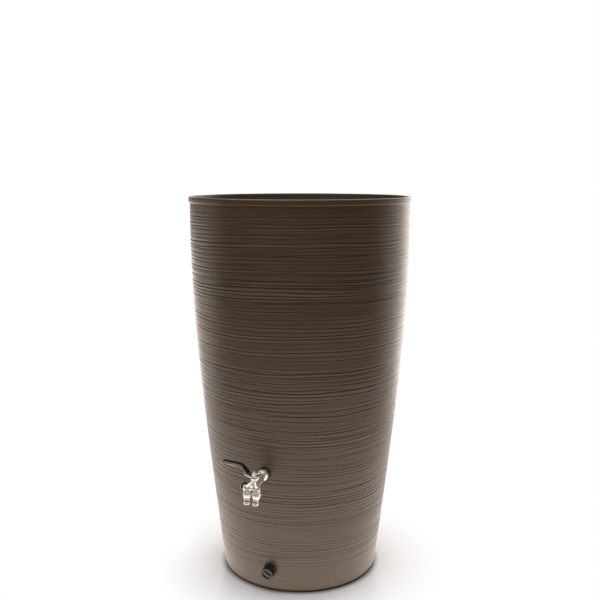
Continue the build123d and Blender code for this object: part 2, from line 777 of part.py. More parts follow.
def build_tap(seat):
    """Writes the tap's pieces."""
    centre = spindle_plane(seat, 0, BALL_AT)
    nut_face = -SEAT_PAD - INNER_GASKET_THICK
    save(tap_inlet(seat), "tap_inlet")
    save(tap_manifold(seat), "tap_manifold")
    save(ring(seat, 0, TAP_GASKET_THICK, TAP_GASKET, TAP_THREAD + THREAD_GAP), "tap_gasket")
    save(ring(seat, nut_face, -SEAT_PAD, INNER_GASKET, TAP_THREAD + THREAD_GAP), "tap_inner_gasket")
    save(
        hex_nut(seat, nut_face - BACKNUT_THICK, nut_face, BACKNUT_FLATS, TAP_THREAD + THREAD_GAP),
        "tap_backnut",
    )
    save(ball_seats(seat), "ball_seats")
    save(main_ball(seat), "main_ball")
    save(main_stem(seat), "main_stem")
    packing_top = PACKING_FLOOR + PACKING_THICK
    save(ring(centre, PACKING_FLOOR, packing_top, PACKING, STEM + TURNING_GAP), "stem_packing")
    save(bonnet_nut(seat), "bonnet_nut")
    lever = main_lever(seat)
    save(lever, "main_lever")
    save(lever_sleeve(seat, lever), "lever_sleeve")
    save(lever_nut(seat), "lever_nut")
    save(side_plug(seat), "side_plug")
    save(side_lever(seat), "side_lever")
    save(side_lever_screw(seat), "side_lever_screw")
    for name, side in (("left", -1), ("right", 1)):
        outlet = outlet_plane(seat, side)
        save(coupling_nut(outlet), f"coupling_nut_{name}")
        washer = ring(outlet, -TAIL_FLANGE_START, -OUTLET_END, OUTLET_THREAD, TAIL_BORE)
        save(washer, f"tail_washer_{name}")
        save(hose_tail(outlet), f"hose_tail_{name}")
        save(tail_ring(outlet), f"tail_ring_{name}")


def build_drain(seat):
    """Writes the drain plug's pieces."""
    nut_face = -SEAT_PAD - INNER_GASKET_THICK
    bore = DRAIN_THREAD + THREAD_GAP
    save(drain_spigot(seat), "drain_spigot")
    save(ring(seat, 0, DRAIN_GASKET_THICK, DRAIN_FLANGE, bore), "drain_gasket")
    save(ring(seat, nut_face, -SEAT_PAD, INNER_GASKET, bore), "drain_inner_gasket")
    save(hex_nut(seat, nut_face - BACKNUT_THICK, nut_face, BACKNUT_FLATS, bore), "drain_backnut")
    save(drain_cap(seat), "drain_cap")
    with BuildPart() as seal:
        with BuildSketch(seat.offset(DRAIN_NECK_END)):
            Circle(DRAIN_THREAD)
        extrude(amount=CAP_CEILING - DRAIN_NECK_END)
    save(seal.part, "drain_cap_seal")


def main():
    os.makedirs("parts", exist_ok=True)
    tap_seat = wall_seat(TAP_HEIGHT, -1)
    drain_seat = wall_seat(DRAIN_HEIGHT, -1)
    inlet_seat = wall_seat(INLET_HEIGHT, 1)
    seats = (
        (tap_seat, TAP_GASKET, TAP_THREAD),
        (drain_seat, DRAIN_FLANGE, DRAIN_THREAD),
        (inlet_seat, INLET_FLANGE, INLET_NECK),
    )
    save(barrel_body(seats), "barrel_body")
    save(planter_bowl(), "planter_bowl")
    build_tap(tap_seat)
    build_drain(drain_seat)
    save(inlet_grommet(inlet_seat), "inlet_grommet")
    for name, seat in (("tap", tap_seat), ("drain", drain_seat), ("inlet", inlet_seat)):
        print(name, "seat at", seat.origin, "facing", seat.z_dir)


main()
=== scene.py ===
import json
import math
import random

import bpy
import numpy as np
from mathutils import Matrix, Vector


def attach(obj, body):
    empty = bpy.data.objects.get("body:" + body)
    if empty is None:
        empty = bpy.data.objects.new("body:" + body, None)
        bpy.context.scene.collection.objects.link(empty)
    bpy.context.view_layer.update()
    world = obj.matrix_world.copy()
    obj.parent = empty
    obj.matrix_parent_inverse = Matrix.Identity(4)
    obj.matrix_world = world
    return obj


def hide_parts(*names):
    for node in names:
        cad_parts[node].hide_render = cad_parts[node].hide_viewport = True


# Rain barrel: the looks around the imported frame. Metres, +Z up, and the tap faces -Y.

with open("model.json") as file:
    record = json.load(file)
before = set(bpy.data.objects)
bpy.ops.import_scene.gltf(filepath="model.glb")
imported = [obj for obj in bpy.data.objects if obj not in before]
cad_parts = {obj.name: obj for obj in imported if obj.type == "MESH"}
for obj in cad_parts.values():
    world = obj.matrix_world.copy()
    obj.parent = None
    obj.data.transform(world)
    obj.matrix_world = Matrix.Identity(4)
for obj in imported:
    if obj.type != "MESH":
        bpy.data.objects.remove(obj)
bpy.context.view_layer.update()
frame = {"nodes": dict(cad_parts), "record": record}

MM = 0.001
HEIGHT = 1.060
PROFILE_RADII = (0.220, 0.2604, 0.3093, 0.303)
WALL = 5 * MM
FLOOR_THICK = 6 * MM
FOOT_ROUND = 12 * MM
RIM_BOTTOM = 1.046
RIM_OUTER = 0.307
RIM_INNER = 0.298
RIM_ROUND = 3 * MM
LEDGE_TOP = 1.036
LEDGE_INNER = 0.285
LEDGE_EDGE = 5 * MM
LEDGE_FOOT = 1.017
COLLAR_START = 1.034
COLLAR_ROWS = (1.0395, 1.0425, 1.0452)
BASE_RADII = (0.06, 0.13, 0.18)
FLOOR_RADII = (0.16, 0.08)
FLOOR_ROUND = 9 * MM
BEAD_ROUND = 1.2 * MM
LEDGE_ROUND = 0.8 * MM
CORNER_ROUND = 0.6 * MM

# Where a fitting goes through the wall:
# height of its seat, side (-1 is -Y), seat radius, pad radius
SEAT_DEPTH = 0.9 * MM
SEAT_PAD = 7 * MM
SEAT_EDGE = 3 * MM
SEAT_CLEAR = 4 * MM
PAD_REACH = 20 * MM
FITTINGS = ((0.347, -1, 0.019, 0.023), (0.062, -1, 0.021, 0.025), (0.955, 1, 0.023, 0.027))

COLUMN_STEP = 2.7
FINE_STEP = 1.375
FINE_SPAN = 11.0
ROW_STEP = 1.82 * MM
INSIDE_SPAN = 30 * MM
INSIDE_STEP = 6 * MM
DRIFT = 1.7 * MM
DRIFT_STEP = 0.12
DRIFT_CALM = 0.03
SEED = 20

# Grooves and what goes with them
LINE_SWAY = 0.35 * MM
CLOSEST_LINES = 3.2
FADE_SWAY = 0.55
LIP_SHARE = 0.32
LIP_DROP = 2.1
LIP_WIDTH = 0.9
TERRACES = 70
TERRACE_DEPTH = 0.16
TERRACE_SWAY = 5 * MM

# Tap, in millimetres: out from its seat, or up or across from its centre line
WRENCH_END = 46
SPIGOT = 10.6
SPIGOT_END = 52
BALL_AT = 61
CAVITY = 9.7
CAVITY_END = 70
HOUSING = 12.5
HOUSING_END = 72
BONNET_BOSS = 8.5
BONNET_TOP = 15.5
PACKING_FLOOR = 11.2
PACKING_BORE = 6.0
STEM_BORE = 4.1
BRANCH = (-3, 78)
BRANCH_SPREAD = 12.2
BRANCH_BORE = 4.2
BRIDGE = 6.6
LOBE = 9.8
SHOULDER = (4.8, 5.5, 71)
SHOULDER_ROUND = 5.6
SIDE_BOSS = 8.0
PLUG_INNER = 5
PLUG_OUTER = 22.6
PLUG_BORE = 6.1
OUTLET_LEAN = 18
OUTLET_SHOULDER = 10
OUTLET_END = 19
OUTLET_THREAD = 9.1
CASTING = 2.2
SIDE_CASTING = 1.2
LOBE_CASTING = 1.0
HOUSING_EDGE = 1.2
BRIDGE_EDGE = 0.5
BOSS_EDGE = 0.4
LOBE_EDGE = 0.8
THREAD_EDGE = 0.3
BALL_WAY = 1.2
PAST = 2
TAP_BOX = ((-25, -26, 42), (24, 18, 92))
TAP_STEP = 0.5
LEVER_BASE = 22.5
GRIP_LINE = (
    (-16, 6.8), (-20.5, 11.8), (-25.5, 17.4), (-30.5, 22.4), (-37, 26.0),
    (-47, 27.6), (-60, 28.6), (-75, 29.6), (-90.5, 30.2),
)
GRIP_STEPS = 8
GRIP_SIDES = 28
GRIP_TIP = 7.0
GRIP_WIDE = 8.3
GRIP_THICK = 3.5
GRIP_MOUTH = 0.07
GRIP_MOUTH_LENGTH = 1.5
GRIP_LEAST = 0.02
GRIP_SQUARENESS = (0.75, 0.85)
GRIP_TIP_THICKNESS = 0.6

CAMERA_AZIMUTH = 21.0
CAMERA_DISTANCE = 2.2546
CAMERA_HEIGHT = 1.1252
CAMERA_PITCH = 9.0
CAMERA_LENS = 48.4

# Studio: distances from the barrel's axis where the floor's shadows, its painted contact shadow
# ring and its glow begin and end, and how bright the floor and the room are
SHADOW_REACH = (0.23, 0.42)
CONTACT_SHADOW_REACH = (0.216, 0.234)
GLOW_REACH = (0.4, 2.2)
GLOW = 2.15
GLOW_FAR = 0.10
GLOW_EDGE = 0.7
ROOM_FRONT = 0.16
ROOM_BACK = 1.75
BACK_EDGE = (0.50, 0.95)
BACK_TURN = 20.0
FLOOR_HALF = 12.0
WARM = (1.0, 0.92, 0.85)
WHITE = (1.0, 1.0, 1.0)

# Lights: name, turn from the camera, distance, height, target's height, size, watts, colour
LIGHTS = (
    ("edge_right", 138, 1.6, 0.85, 0.6, (0.8, 1.7), 9, WARM),
    ("edge_left", -150, 1.6, 0.35, 0.3, (0.6, 0.8), 3, WARM),
    ("front_card", -40, 2.4, 2.6, 0.35, (2.2, 1.4), 14, WARM),
)
TOP_HEIGHT = 3.6
TOP_SIZE = 4.5
TOP_WATTS = 138

# Linear colours, most of them as the two ends of a slow blend
BARREL_TONES = ((0.063, 0.0360, 0.0178), (0.075, 0.0438, 0.0227))
STREAK_TONE = (0.051, 0.0285, 0.0140)
# Painted highlight: a lighter tone on the lip below each groove, where light from above would catch
# it
LIP_HIGHLIGHT_TONE = (0.150, 0.106, 0.070)
# Painted shade: a dark tone inside the grooves, where shade falls
GROOVE_SHADE_TONE = (0.018, 0.010, 0.005)
BOWL_TONES = ((0.048, 0.034, 0.025), (0.060, 0.043, 0.032))
BRASS_TONES = ((0.86, 0.835, 0.77), (0.74, 0.715, 0.65))
STEEL_TONES = ((0.62, 0.61, 0.58), (0.48, 0.47, 0.45))
SEAL_TONES = ((0.78, 0.77, 0.73), (0.68, 0.66, 0.61))
SOFT_BLACKS = ((0.004, 0.004, 0.004), (0.008, 0.008, 0.008))
PLASTIC_BLACKS = ((0.010, 0.010, 0.009), (0.017, 0.016, 0.015))
PAPER_TONES = ((0.84, 0.855, 0.875), (0.86, 0.875, 0.895))
# Painted contact shadow: the grey of the floor right at the barrel's foot
CONTACT_SHADOW_TONE = (0.15, 0.15, 0.155)


# ---------------------------------------------------------------- shared helpers

def smooth(x):
    x = np.clip(x, 0.0, 1.0)
    return x * x * (3.0 - 2.0 * x)


def wall_radius(z):
    """The wall's outside radius at a height: a cubic curve through the profile's radii."""
    t = np.clip(z / HEIGHT, 0.0, 1.0)
    return sum(math.comb(3, i) * (1 - t) ** (3 - i) * t ** i * r
               for i, r in enumerate(PROFILE_RADII))


def wall_lean(z):
    step = 1 * MM
    return math.atan2(wall_radius(z + step) - wall_radius(z - step), 2 * step)


def around(azimuth, distance, height):
    """A place at this many degrees round from -Y."""
    a = math.radians(azimuth)
    return (math.sin(a) * distance, -math.cos(a) * distance, height)


def mesh_object(name, verts, faces, body, material, replaced=()):
    mesh = bpy.data.meshes.new(name)
    mesh.from_pydata([tuple(v) for v in verts], [], faces)
    mesh.update()
    mesh.shade_smooth()
    obj = bpy.data.objects.new(name, mesh)
    bpy.context.scene.collection.objects.link(obj)
    mesh.materials.append(material)
    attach(obj, body)
    if replaced:
        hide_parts(*replaced)
    return obj


# ---------------------------------------------------------------- materials

RANGE_SOCKETS = ("From Min", "From Max", "To Min", "To Max")


class Graph:
    """A node material under construction, with its Principled shader."""

    def __init__(self, name):
        self.material = bpy.data.materials.new(name)
        self.material.use_nodes = True
        self.tree = self.material.node_tree
        self.shader = next(n for n in self.tree.nodes if n.type == "BSDF_PRINCIPLED")
        self.where = self.add("ShaderNodeTexCoord").outputs["Object"]

    def add(self, kind, **settings):
        node = self.tree.nodes.new(kind)
        for key, value in settings.items():
            setattr(node, key, value)
        return node

    def link(self, source, target):
        self.tree.links.new(source, target)

    def stretched(self, scale):
        mapping = self.add("ShaderNodeMapping")
        self.link(self.where, mapping.inputs["Vector"])
        mapping.inputs["Scale"].default_value = scale
        return mapping.outputs["Vector"]

    def noise(self, scale, detail=3.0, stretch=(1, 1, 1), distortion=0.0, rough=0.5):
        node = self.add("ShaderNodeTexNoise")
        self.link(self.stretched(stretch), node.inputs["Vector"])
        node.inputs["Scale"].default_value = scale
        node.inputs["Detail"].default_value = detail
        node.inputs["Roughness"].default_value = rough
        node.inputs["Distortion"].default_value = distortion
        return node.outputs["Fac"]

    def remap(self, value, low, high, to_low, to_high):
        node = self.add("ShaderNodeMapRange")
        self.link(value, node.inputs["Value"])
        for key, number in zip(RANGE_SOCKETS, (low, high, to_low, to_high)):
            node.inputs[key].default_value = number
        return node.outputs["Result"]

    def blend(self, factor, first, second):
        node = self.add("ShaderNodeMix", data_type="RGBA")
        self.link(factor, node.inputs["Factor"])
        for socket, colour in ((node.inputs[6], first), (node.inputs[7], second)):
            if isinstance(colour, tuple):
                socket.default_value = (*colour, 1)
            else:
                self.link(colour, socket)
        return node.outputs[2]

    def attribute(self, name):
        return self.add("ShaderNodeAttribute", attribute_name=name).outputs["Fac"]

    def add_up(self, first, second, scale=1.0):
        node = self.add("ShaderNodeMath", operation="MULTIPLY_ADD")
        self.link(second, node.inputs[0])
        node.inputs[1].default_value = scale
        self.link(first, node.inputs[2])
        return node.outputs[0]

    def bump(self, height, distance, strength=1.0):
        node = self.add("ShaderNodeBump")
        self.link(height, node.inputs["Height"])
        node.inputs["Distance"].default_value = distance
        node.inputs["Strength"].default_value = strength
        self.link(node.outputs["Normal"], self.shader.inputs["Normal"])

    def set(self, **values):
        for key, value in values.items():
            self.shader.inputs[key.replace("_", " ")].default_value = value


def barrel_plastic():
    g = Graph("barrel_plastic")
    streak = g.noise(1.0, 4.0, (7, 7, 420), 0.4)
    blotch = g.noise(5.0, 3.0, (1, 1, 1.6))
    grain = g.noise(900.0, 2.0)
    groove = g.attribute("groove")
    tone = g.blend(g.remap(blotch, 0.3, 0.7, 0, 1), *BARREL_TONES)
    tone = g.blend(g.remap(streak, 0.35, 0.7, 0, 0.55), tone, STREAK_TONE)
    # Painted highlight: the lip below each groove is lightened
    tone = g.blend(g.remap(g.attribute("lip"), 0.0, 1.0, 0, 0.7), tone, LIP_HIGHLIGHT_TONE)
    # Painted shade: the grooves are darkened
    tone = g.blend(g.remap(groove, 0.0, 0.9, 0, 1), tone, GROOVE_SHADE_TONE)
    g.link(tone, g.shader.inputs["Base Color"])
    g.link(g.remap(streak, 0.3, 0.7, 0.33, 0.45), g.shader.inputs["Roughness"])
    g.set(IOR=1.49)
    g.bump(g.add_up(streak, grain, 0.25), 0.35 * MM, 0.6)
    return g.material


def bowl_plastic():
    g = Graph("bowl_plastic")
    cloud = g.noise(9.0, 4.0)
    grain = g.noise(700.0, 2.0)
    streak = g.noise(1.0, 3.0, (30, 30, 260))
    tone = g.blend(g.remap(cloud, 0.3, 0.7, 0, 1), *BOWL_TONES)
    g.link(tone, g.shader.inputs["Base Color"])
    g.link(g.remap(cloud, 0.3, 0.7, 0.46, 0.58), g.shader.inputs["Roughness"])
    g.bump(g.add_up(grain, streak, 0.6), 0.15 * MM, 0.7)
    return g.material


def chromed_brass():
    g = Graph("chromed_brass")
    cloud = g.noise(60.0, 4.0)
    wave = g.noise(240.0, 2.0)
    tone = g.blend(g.remap(cloud, 0.35, 0.7, 0, 1), *BRASS_TONES)
    g.link(tone, g.shader.inputs["Base Color"])
    g.link(g.remap(cloud, 0.3, 0.75, 0.26, 0.38), g.shader.inputs["Roughness"])
    g.set(Metallic=0.72)
    g.bump(wave, 0.12 * MM, 0.5)
    return g.material


def steel():
    g = Graph("steel")
    brushed = g.noise(1.0, 3.0, (200, 1600, 200))
    tone = g.blend(g.remap(brushed, 0.3, 0.7, 0, 1), *STEEL_TONES)
    g.link(tone, g.shader.inputs["Base Color"])
    g.link(g.remap(brushed, 0.3, 0.7, 0.22, 0.38), g.shader.inputs["Roughness"])
    g.set(Metallic=1.0)
    g.bump(brushed, 0.04 * MM, 0.4)
    return g.material


def dark_polymer(name, tones, rough, grain_scale, depth, coat=0.0):
    g = Graph(name)
    cloud = g.noise(45.0, 3.0)
    grain = g.noise(grain_scale, 2.0)
    tone = g.blend(g.remap(cloud, 0.3, 0.7, 0, 1), *tones)
    g.link(tone, g.shader.inputs["Base Color"])
    g.link(g.remap(grain, 0.3, 0.7, rough - 0.05, rough + 0.06), g.shader.inputs["Roughness"])
    g.set(Coat_Weight=coat, Coat_Roughness=0.12)
    g.bump(grain, depth, 0.6)
    return g.material


def white_seal():
    g = Graph("white_seal")
    cloud = g.noise(80.0, 3.0)
    tone = g.blend(g.remap(cloud, 0.3, 0.7, 0, 1), *SEAL_TONES)
    g.link(tone, g.shader.inputs["Base Color"])
    g.link(g.remap(cloud, 0.3, 0.7, 0.42, 0.55), g.shader.inputs["Roughness"])
    g.bump(g.noise(900.0, 2.0), 0.05 * MM, 0.5)
    return g.material


def studio_floor():
    """White paper: it shows the barrel's shadow near it, with a painted contact shadow ring at the
    barrel's foot, is evenly white further out, and glows.
    """
    g = Graph("studio_floor")
    mottle = g.noise(2.5, 2.0)
    g.link(g.remap(mottle, 0.3, 0.7, 0.14, 0.18), g.shader.inputs["Roughness"])
    length = g.add("ShaderNodeVectorMath", operation="LENGTH")
    g.link(g.where, length.inputs[0])
    paper = g.blend(g.remap(mottle, 0.3, 0.7, 0, 1), *PAPER_TONES)
    # Painted contact shadow: the paper goes grey in a ring at the barrel's foot, and the floor's
    # glow dims there too
    contact_shadow = g.remap(length.outputs["Value"], *CONTACT_SHADOW_REACH, 0, 1)
    g.link(g.blend(contact_shadow, CONTACT_SHADOW_TONE, paper), g.shader.inputs["Base Color"])
    white = g.add("ShaderNodeEmission")
    glow = g.add("ShaderNodeEmission")
    glow.inputs["Color"].default_value = (*WARM, 1)
    behind = g.add("ShaderNodeVectorMath", operation="DOT_PRODUCT")
    g.link(g.where, behind.inputs[0])
    behind.inputs[1].default_value = around(CAMERA_AZIMUTH + 180, 1.0, 0.0)
    near = g.remap(length.outputs["Value"], *GLOW_REACH, GLOW, GLOW_FAR)
    back = g.remap(behind.outputs["Value"], 0.0, GLOW_EDGE, 0.0, ROOM_BACK)
    brighter = g.add("ShaderNodeMath", operation="MAXIMUM")
    g.link(near, brighter.inputs[0])
    g.link(back, brighter.inputs[1])
    open_floor = g.add("ShaderNodeMath", operation="MULTIPLY")
    g.link(brighter.outputs[0], open_floor.inputs[0])
    g.link(contact_shadow, open_floor.inputs[1])
    g.link(open_floor.outputs[0], glow.inputs["Strength"])
    seen = g.add("ShaderNodeMixShader")
    g.link(g.remap(length.outputs["Value"], *SHADOW_REACH, 0, 1), seen.inputs[0])
    g.link(g.shader.outputs[0], seen.inputs[1])
    g.link(white.outputs[0], seen.inputs[2])
    mix = g.add("ShaderNodeMixShader")
    g.link(g.add("ShaderNodeLightPath").outputs["Is Camera Ray"], mix.inputs[0])
    g.link(glow.outputs[0], mix.inputs[1])
    g.link(seen.outputs[0], mix.inputs[2])
    out = next(n for n in g.tree.nodes if n.type == "OUTPUT_MATERIAL")
    g.link(mix.outputs[0], out.inputs["Surface"])
    return g.material


MATERIALS = {
    "barrel_plastic": barrel_plastic(),
    "bowl_plastic": bowl_plastic(),
    "chromed_brass": chromed_brass(),
    "steel": steel(),
    "black_vinyl": dark_polymer("black_vinyl", SOFT_BLACKS, 0.14, 380, 0.04 * MM, coat=1.0),
    "black_plastic": dark_polymer("black_plastic", PLASTIC_BLACKS, 0.36, 600, 0.08 * MM),
    "black_rubber": dark_polymer("black_rubber", SOFT_BLACKS, 0.55, 800, 0.1 * MM),
    "white_seal": white_seal(),
}


def dress_cad_nodes():
    """Gives every CAD node the material of its slot in the record."""
    for part in frame["record"]["subparts"]:
        mesh = frame["nodes"][part["node"]].data
        mesh.materials.clear()
        mesh.materials.append(MATERIALS[part["material_slot"]])


# ---------------------------------------------------------------- barrel shell

def column_angles():
    """Angles round the barrel, closer together where the fittings sit."""
    angles = []
    for middle in (-90.0, 90.0):
        fine = np.arange(-FINE_SPAN, FINE_SPAN, FINE_STEP)
        angles += [middle + a for a in fine]
        coarse = int(round((180.0 - 2 * FINE_SPAN) / COLUMN_STEP))
        span = (180.0 - 2 * FINE_SPAN) / coarse
        angles += [middle + FINE_SPAN + k * span for k in range(coarse)]
    return np.radians(np.array(angles))


def wander(rng, angles, low, high, fall):
    """A closed wandering curve round the barrel, about 1 high."""
    out = np.zeros_like(angles)
    for k in range(low, high):
        out += rng.gauss(0, 1) * k ** -fall * np.cos(k * angles + rng.uniform(0, 2 * math.pi))
    return out / math.sqrt(sum(k ** (-2 * fall) for k in range(low, high)) * 0.5)


# Bands of scraped grooves: from and to in metres, mean spacing, spread of the spacing,
# depth and width in mm, wander, and the share of the turn that a line is kept for
GROOVE_BANDS = (
    (0.010, 0.024, 6.0, 1.0, 0.40, 1.0, 0.5, 0.7),
    (0.030, 0.078, 11.0, 4.0, 0.22, 0.9, 1.0, 0.5),
    (0.080, 0.148, 7.4, 2.2, 0.95, 1.25, 1.4, 1.0),
    (0.152, 0.194, 11.0, 4.0, 0.30, 1.0, 1.2, 0.5),
    (0.196, 0.300, 7.2, 2.6, 1.10, 1.30, 2.0, 1.0),
    (0.300, 0.395, 6.8, 2.6, 0.95, 1.20, 2.4, 0.9),
    (0.395, 0.545, 7.2, 2.8, 1.10, 1.30, 2.8, 0.95),
    (0.545, 0.662, 7.2, 2.8, 1.15, 1.35, 2.6, 0.95),
    (0.722, 0.860, 8.6, 2.6, 1.15, 1.45, 2.0, 1.0),
    (0.860, 1.004, 8.4, 2.6, 1.10, 1.40, 1.6, 0.95),
    (1.006, 1.032, 8.0, 1.6, 0.75, 1.25, 1.0, 0.8),
)
# Lines that run all the way round: height in metres, depth and width in mm
FULL_GROOVES = (
    (0.668, 0.9, 1.1), (0.679, 1.25, 1.5), (0.690, 0.7, 1.0), (0.703, 0.8, 1.0),
    (0.714, 1.25, 1.5), (0.204, 1.0, 1.2), (0.150, 0.9, 1.1), (0.0785, 0.8, 1.1),
    (1.0135, 0.85, 1.2), (0.805, 0.8, 1.1),
)
FULL_SWAY = 1.2
FULL_KEEP = 2.0


def groove_lines(rng):
    """Every groove's height, depth, width, wander and share kept, from the base up."""
    lines = []
    for low, high, spacing, spread, depth, width, sway, keep in GROOVE_BANDS:
        z = low
        while z < high:
            deep, wide = depth * rng.uniform(0.55, 1.2), width * rng.uniform(0.8, 1.25)
            lines.append((z, deep, wide, sway, keep))
            z += max(CLOSEST_LINES, rng.gauss(spacing, spread)) * MM
    for z, depth, width in FULL_GROOVES:
        lines.append((z, depth, width, FULL_SWAY, FULL_KEEP))
    return sorted(lines)


def drift_at(curves, heights):
    """How far the grooves at these heights wander together, from the curves at every DRIFT_STEP."""
    k = np.minimum((heights / DRIFT_STEP).astype(int), len(curves) - 2)
    share = (heights / DRIFT_STEP - k)[:, None]
    return DRIFT * (curves[k] * (1 - share) + curves[k + 1] * share)


def wall_grid(rng, angles, heights):
    """The drift curves, and the height of every point of the wall, whose rows follow the drift."""
    levels = np.arange(0.0, HEIGHT + DRIFT_STEP, DRIFT_STEP)
    curves = np.array([wander(rng, angles, 1, 9, 0.7) for _ in levels])
    calm = (smooth((heights - DRIFT_CALM / 2) / DRIFT_CALM)
            * smooth((COLLAR_START - heights) / DRIFT_CALM))
    return curves, heights[:, None] + drift_at(curves, heights) * calm[:, None]


def groove_field(rng, angles, curves, z):
    """How far every point moves out or in, and how much it is in a groove or on a lip: the masks
    for the painted shade in the grooves and the painted highlight on the lips.
    """
    depth = np.zeros_like(z)
    lip = np.zeros_like(z)
    for z0, deep, width, sway, keep in groove_lines(rng):
        drift = drift_at(curves, np.array([z0]))[0]
        centre = z0 + drift + LINE_SWAY * sway * wander(rng, angles, 3, 14, 1.0)
        fade = smooth((keep + FADE_SWAY * wander(rng, angles, 1, 7, 0.5)) * 1.1)
        u = (z - centre) / (width * MM)
        depth = np.maximum(depth, fade * deep * np.exp(-u * u))
        below = (z - centre + LIP_DROP * width * MM) / (LIP_WIDTH * width * MM)
        lip = np.maximum(lip, fade * deep * LIP_SHARE * np.exp(-below * below))
    terrace = np.zeros_like(depth)
    for _ in range(TERRACES):
        z0 = rng.uniform(0.02, COLLAR_START)
        centre = z0 + TERRACE_SWAY * wander(rng, angles, 1, 8, 0.8)
        u = (z - centre) / (rng.uniform(4, 9) * MM)
        height = rng.choice((-1, 1)) * TERRACE_DEPTH
        terrace += height * smooth(0.5 + 0.6 * wander(rng, angles, 1, 6, 0.5)) * np.exp(-u * u)
    plain = smooth((COLLAR_START + 2 * MM - z) / (3 * MM)) * smooth((z - 8 * MM) / (4 * MM))
    push = (lip * (1 - depth) - depth + terrace) * plain * MM
    return push, np.clip(depth, 0, 1) * plain, np.clip(lip * 3 * (1 - depth), 0, 1) * plain


def arc(cx, cz, r, start, end, steps):
    """Points on a quarter turn or so, in degrees, as (radius, height)."""
    turn = [math.radians(start + (end - start) * k / steps) for k in range(steps + 1)]
    return [(cx + r * math.cos(a), cz + r * math.sin(a)) for a in turn]


def shell_sections():
    """The shell's profile from the middle of the base, the wall as heights alone and the rest as
    (radius, height)."""
    foot = wall_radius(0.0)
    base = [(r, 0.0) for r in BASE_RADII]
    base += arc(foot - FOOT_ROUND + 1 * MM, FOOT_ROUND, FOOT_ROUND, -90, -8, 7)
    wall = np.arange(FOOT_ROUND + 0.5 * MM, COLLAR_START + 3 * MM, ROW_STEP)
    collar = [(wall_radius(z), z) for z in COLLAR_ROWS]
    rim = arc(RIM_OUTER - BEAD_ROUND, RIM_BOTTOM + BEAD_ROUND, BEAD_ROUND, -90, 0, 3)
    rim += arc(RIM_OUTER - RIM_ROUND, HEIGHT - RIM_ROUND, RIM_ROUND, 0, 90, 6)
    rim += arc(RIM_INNER + RIM_ROUND, HEIGHT - RIM_ROUND, RIM_ROUND, 90, 180, 6)
    ledge = [
        (RIM_INNER, 1.045),
        (RIM_INNER, LEDGE_TOP + CORNER_ROUND),
        (RIM_INNER - CORNER_ROUND, LEDGE_TOP),
        (LEDGE_INNER + LEDGE_ROUND, LEDGE_TOP),
        (LEDGE_INNER, LEDGE_TOP - LEDGE_ROUND),
        (LEDGE_INNER, LEDGE_TOP - LEDGE_EDGE + LEDGE_ROUND),
        (LEDGE_INNER + LEDGE_ROUND, LEDGE_TOP - LEDGE_EDGE),
        (wall_radius(LEDGE_FOOT) - WALL, LEDGE_FOOT),
    ]
    levels = set(np.round(np.linspace(0.02, 1.0, 15), 4))
    for height, _, _, _ in FITTINGS:
        near = np.arange(height - INSIDE_SPAN, height + INSIDE_SPAN + 2 * MM, INSIDE_STEP)
        levels |= set(np.round(near, 4))
    inside = [(wall_radius(z) - WALL, z) for z in sorted(levels, reverse=True) if z > 0.017]
    floor = arc(foot - WALL - FLOOR_ROUND, FLOOR_THICK + FLOOR_ROUND, FLOOR_ROUND, 0, -90, 4)
    floor += [(r, FLOOR_THICK) for r in FLOOR_RADII]
    return base, wall, collar + rim + ledge, inside + floor


def seat_frame(height, side):
    """Centre and outward direction of a fitting's flat seat."""
    lean = wall_lean(height)
    out = Vector((0, side * math.cos(lean), -math.sin(lean)))
    centre = Vector((0, side * wall_radius(height), height)) - out * SEAT_DEPTH
    return np.array(centre), np.array(out)


def flatten_seats(points, outside):
    """Moves the wall onto each fitting's flat seat, or onto its thickened pad inside."""
    for height, side, seat, pad in FITTINGS:
        centre, out = seat_frame(height, side)
        rel = points - centre
        along = rel @ out
        away = np.sqrt(np.maximum((rel ** 2).sum(1) - along ** 2, 0.0))
        if outside:
            share = smooth((seat + SEAT_EDGE / 2 - away) / SEAT_EDGE) * (np.abs(along) < SEAT_CLEAR)
            points -= out * (along * share)[:, None]
        else:
            share = smooth((pad + SEAT_EDGE / 2 - away) / SEAT_EDGE)
            share = share * (along < 0) * (along > -PAD_REACH)
            points += out * ((-SEAT_PAD - along) * share)[:, None]
    return points


def near_seat(x, y, z):
    """1 well away from the fittings and 0 on a seat."""
    clear = np.ones_like(x)
    for height, side, seat, _ in FITTINGS:
        gap = np.sqrt(x ** 2 + (z - height) ** 2) - seat
        facing = y * side > 0
        fade = smooth((gap - SEAT_EDGE / 2) / SEAT_CLEAR)
        clear = np.minimum(clear, np.where(facing, fade, 1.0))
    return clear


def ring_points(r, z, angles):
    return np.stack([r * np.cos(angles), r * np.sin(angles), z], -1)


def section_points(section, angles):
    """A section's points turned round to every angle."""
    across = np.ones((1, len(angles)))
    r, z = np.array(section).T
    return ring_points(r[:, None] * across, z[:, None] * across, angles)


